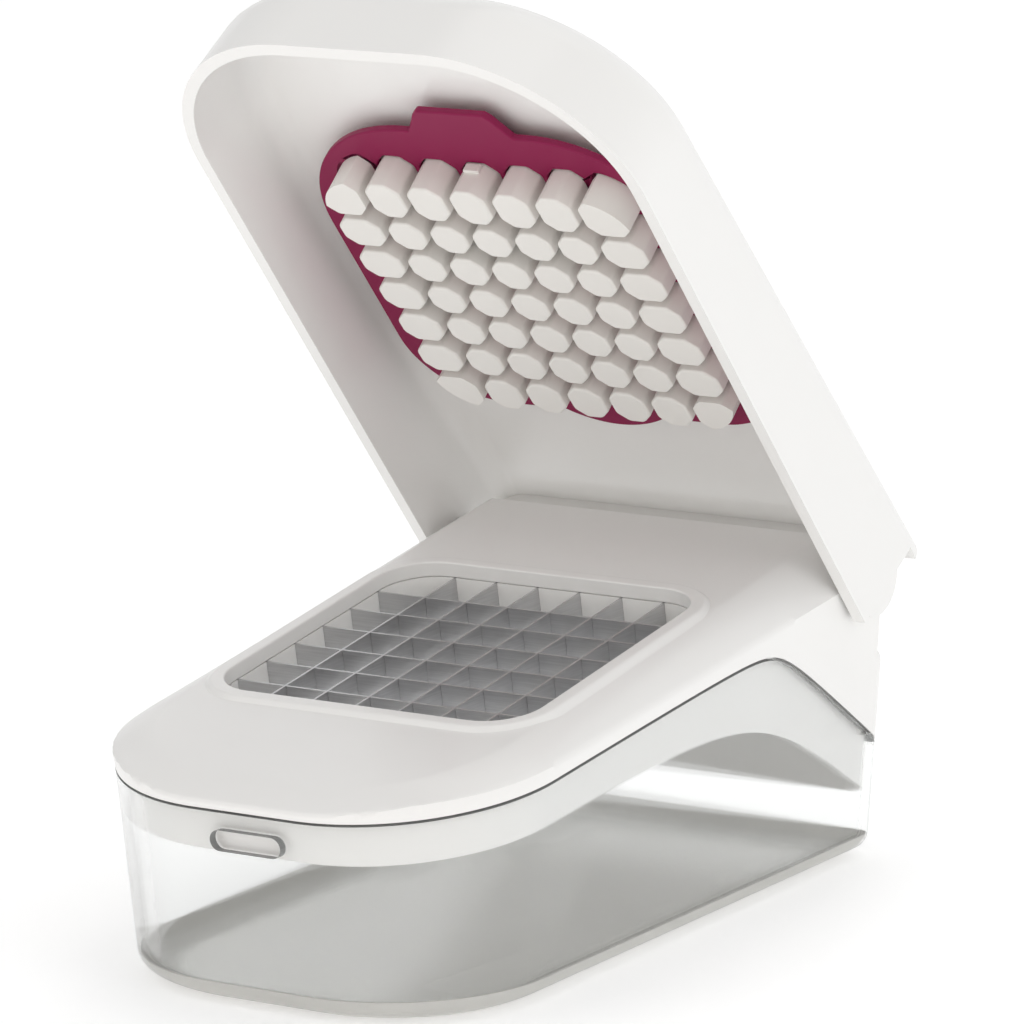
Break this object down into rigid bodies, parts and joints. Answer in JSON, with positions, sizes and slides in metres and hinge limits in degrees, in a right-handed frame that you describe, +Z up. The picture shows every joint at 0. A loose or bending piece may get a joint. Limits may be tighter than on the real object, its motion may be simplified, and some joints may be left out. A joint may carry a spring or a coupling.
{
  "type": "vegetable chopper",
  "caption": "Round-nosed vegetable chopper: a hinged lid with a peg pusher presses food through a blade grid in a lift-off frame into a clear catch container.",
  "frame": {"origin": "middle of the sole's underside, on the table", "axes": "+X to the right, +Y from the rounded nose to the hinge, +Z up"},
  "size_m": [0.1322, 0.218, 0.239],
  "materials": {
    "white_body": "glossy white moulding",
    "warm_white": "satin warm white moulding",
    "clear_body": "clear, slightly frosty moulding",
    "soft_sole": "cloudy white soft moulding",
    "raspberry": "raspberry moulding",
    "steel": "bright stainless"
  },
  "bodies": {
    "container": {"sole": "soft_sole", "container": "clear_body"},
    "frame": {"deck_frame": "white_body", "blade_carrier": "white_body", "carrier_screws": "steel", "blade_long_1": "steel", "blade_long_2": "steel", "blade_long_3": "steel", "blade_long_4": "steel", "blade_long_5": "steel", "blade_long_6": "steel", "blade_cross_1": "steel", "blade_cross_2": "steel", "blade_cross_3": "steel", "blade_cross_4": "steel", "blade_cross_5": "steel", "blade_cross_6": "steel"},
    "release_tab": {"release_tab": "white_body"},
    "lid": {"lid_shell": "white_body", "pusher_plate": "warm_white", "pusher_screws": "steel", "cleaning_grid": "raspberry", "hinge_pin_left": "steel", "hinge_pin_right": "steel"}
  },
  "joints": [
    {"name": "frame_lift", "type": "slide", "parent": "container", "child": "frame", "axis": [0, 0, 1], "range_m": [0, 0.07]},
    {"name": "lid_hinge", "type": "hinge", "parent": "frame", "child": "lid", "pos_m": [0, 0.0855, 0.078], "axis": [-1, 0, 0], "range_deg": [-57.5, 27.5]},
    {"name": "tab_press", "type": "slide", "parent": "frame", "child": "release_tab", "axis": [0, 1, 0], "range_m": [0, 0.0025], "stiffness_N_per_m": 400}
  ]
}
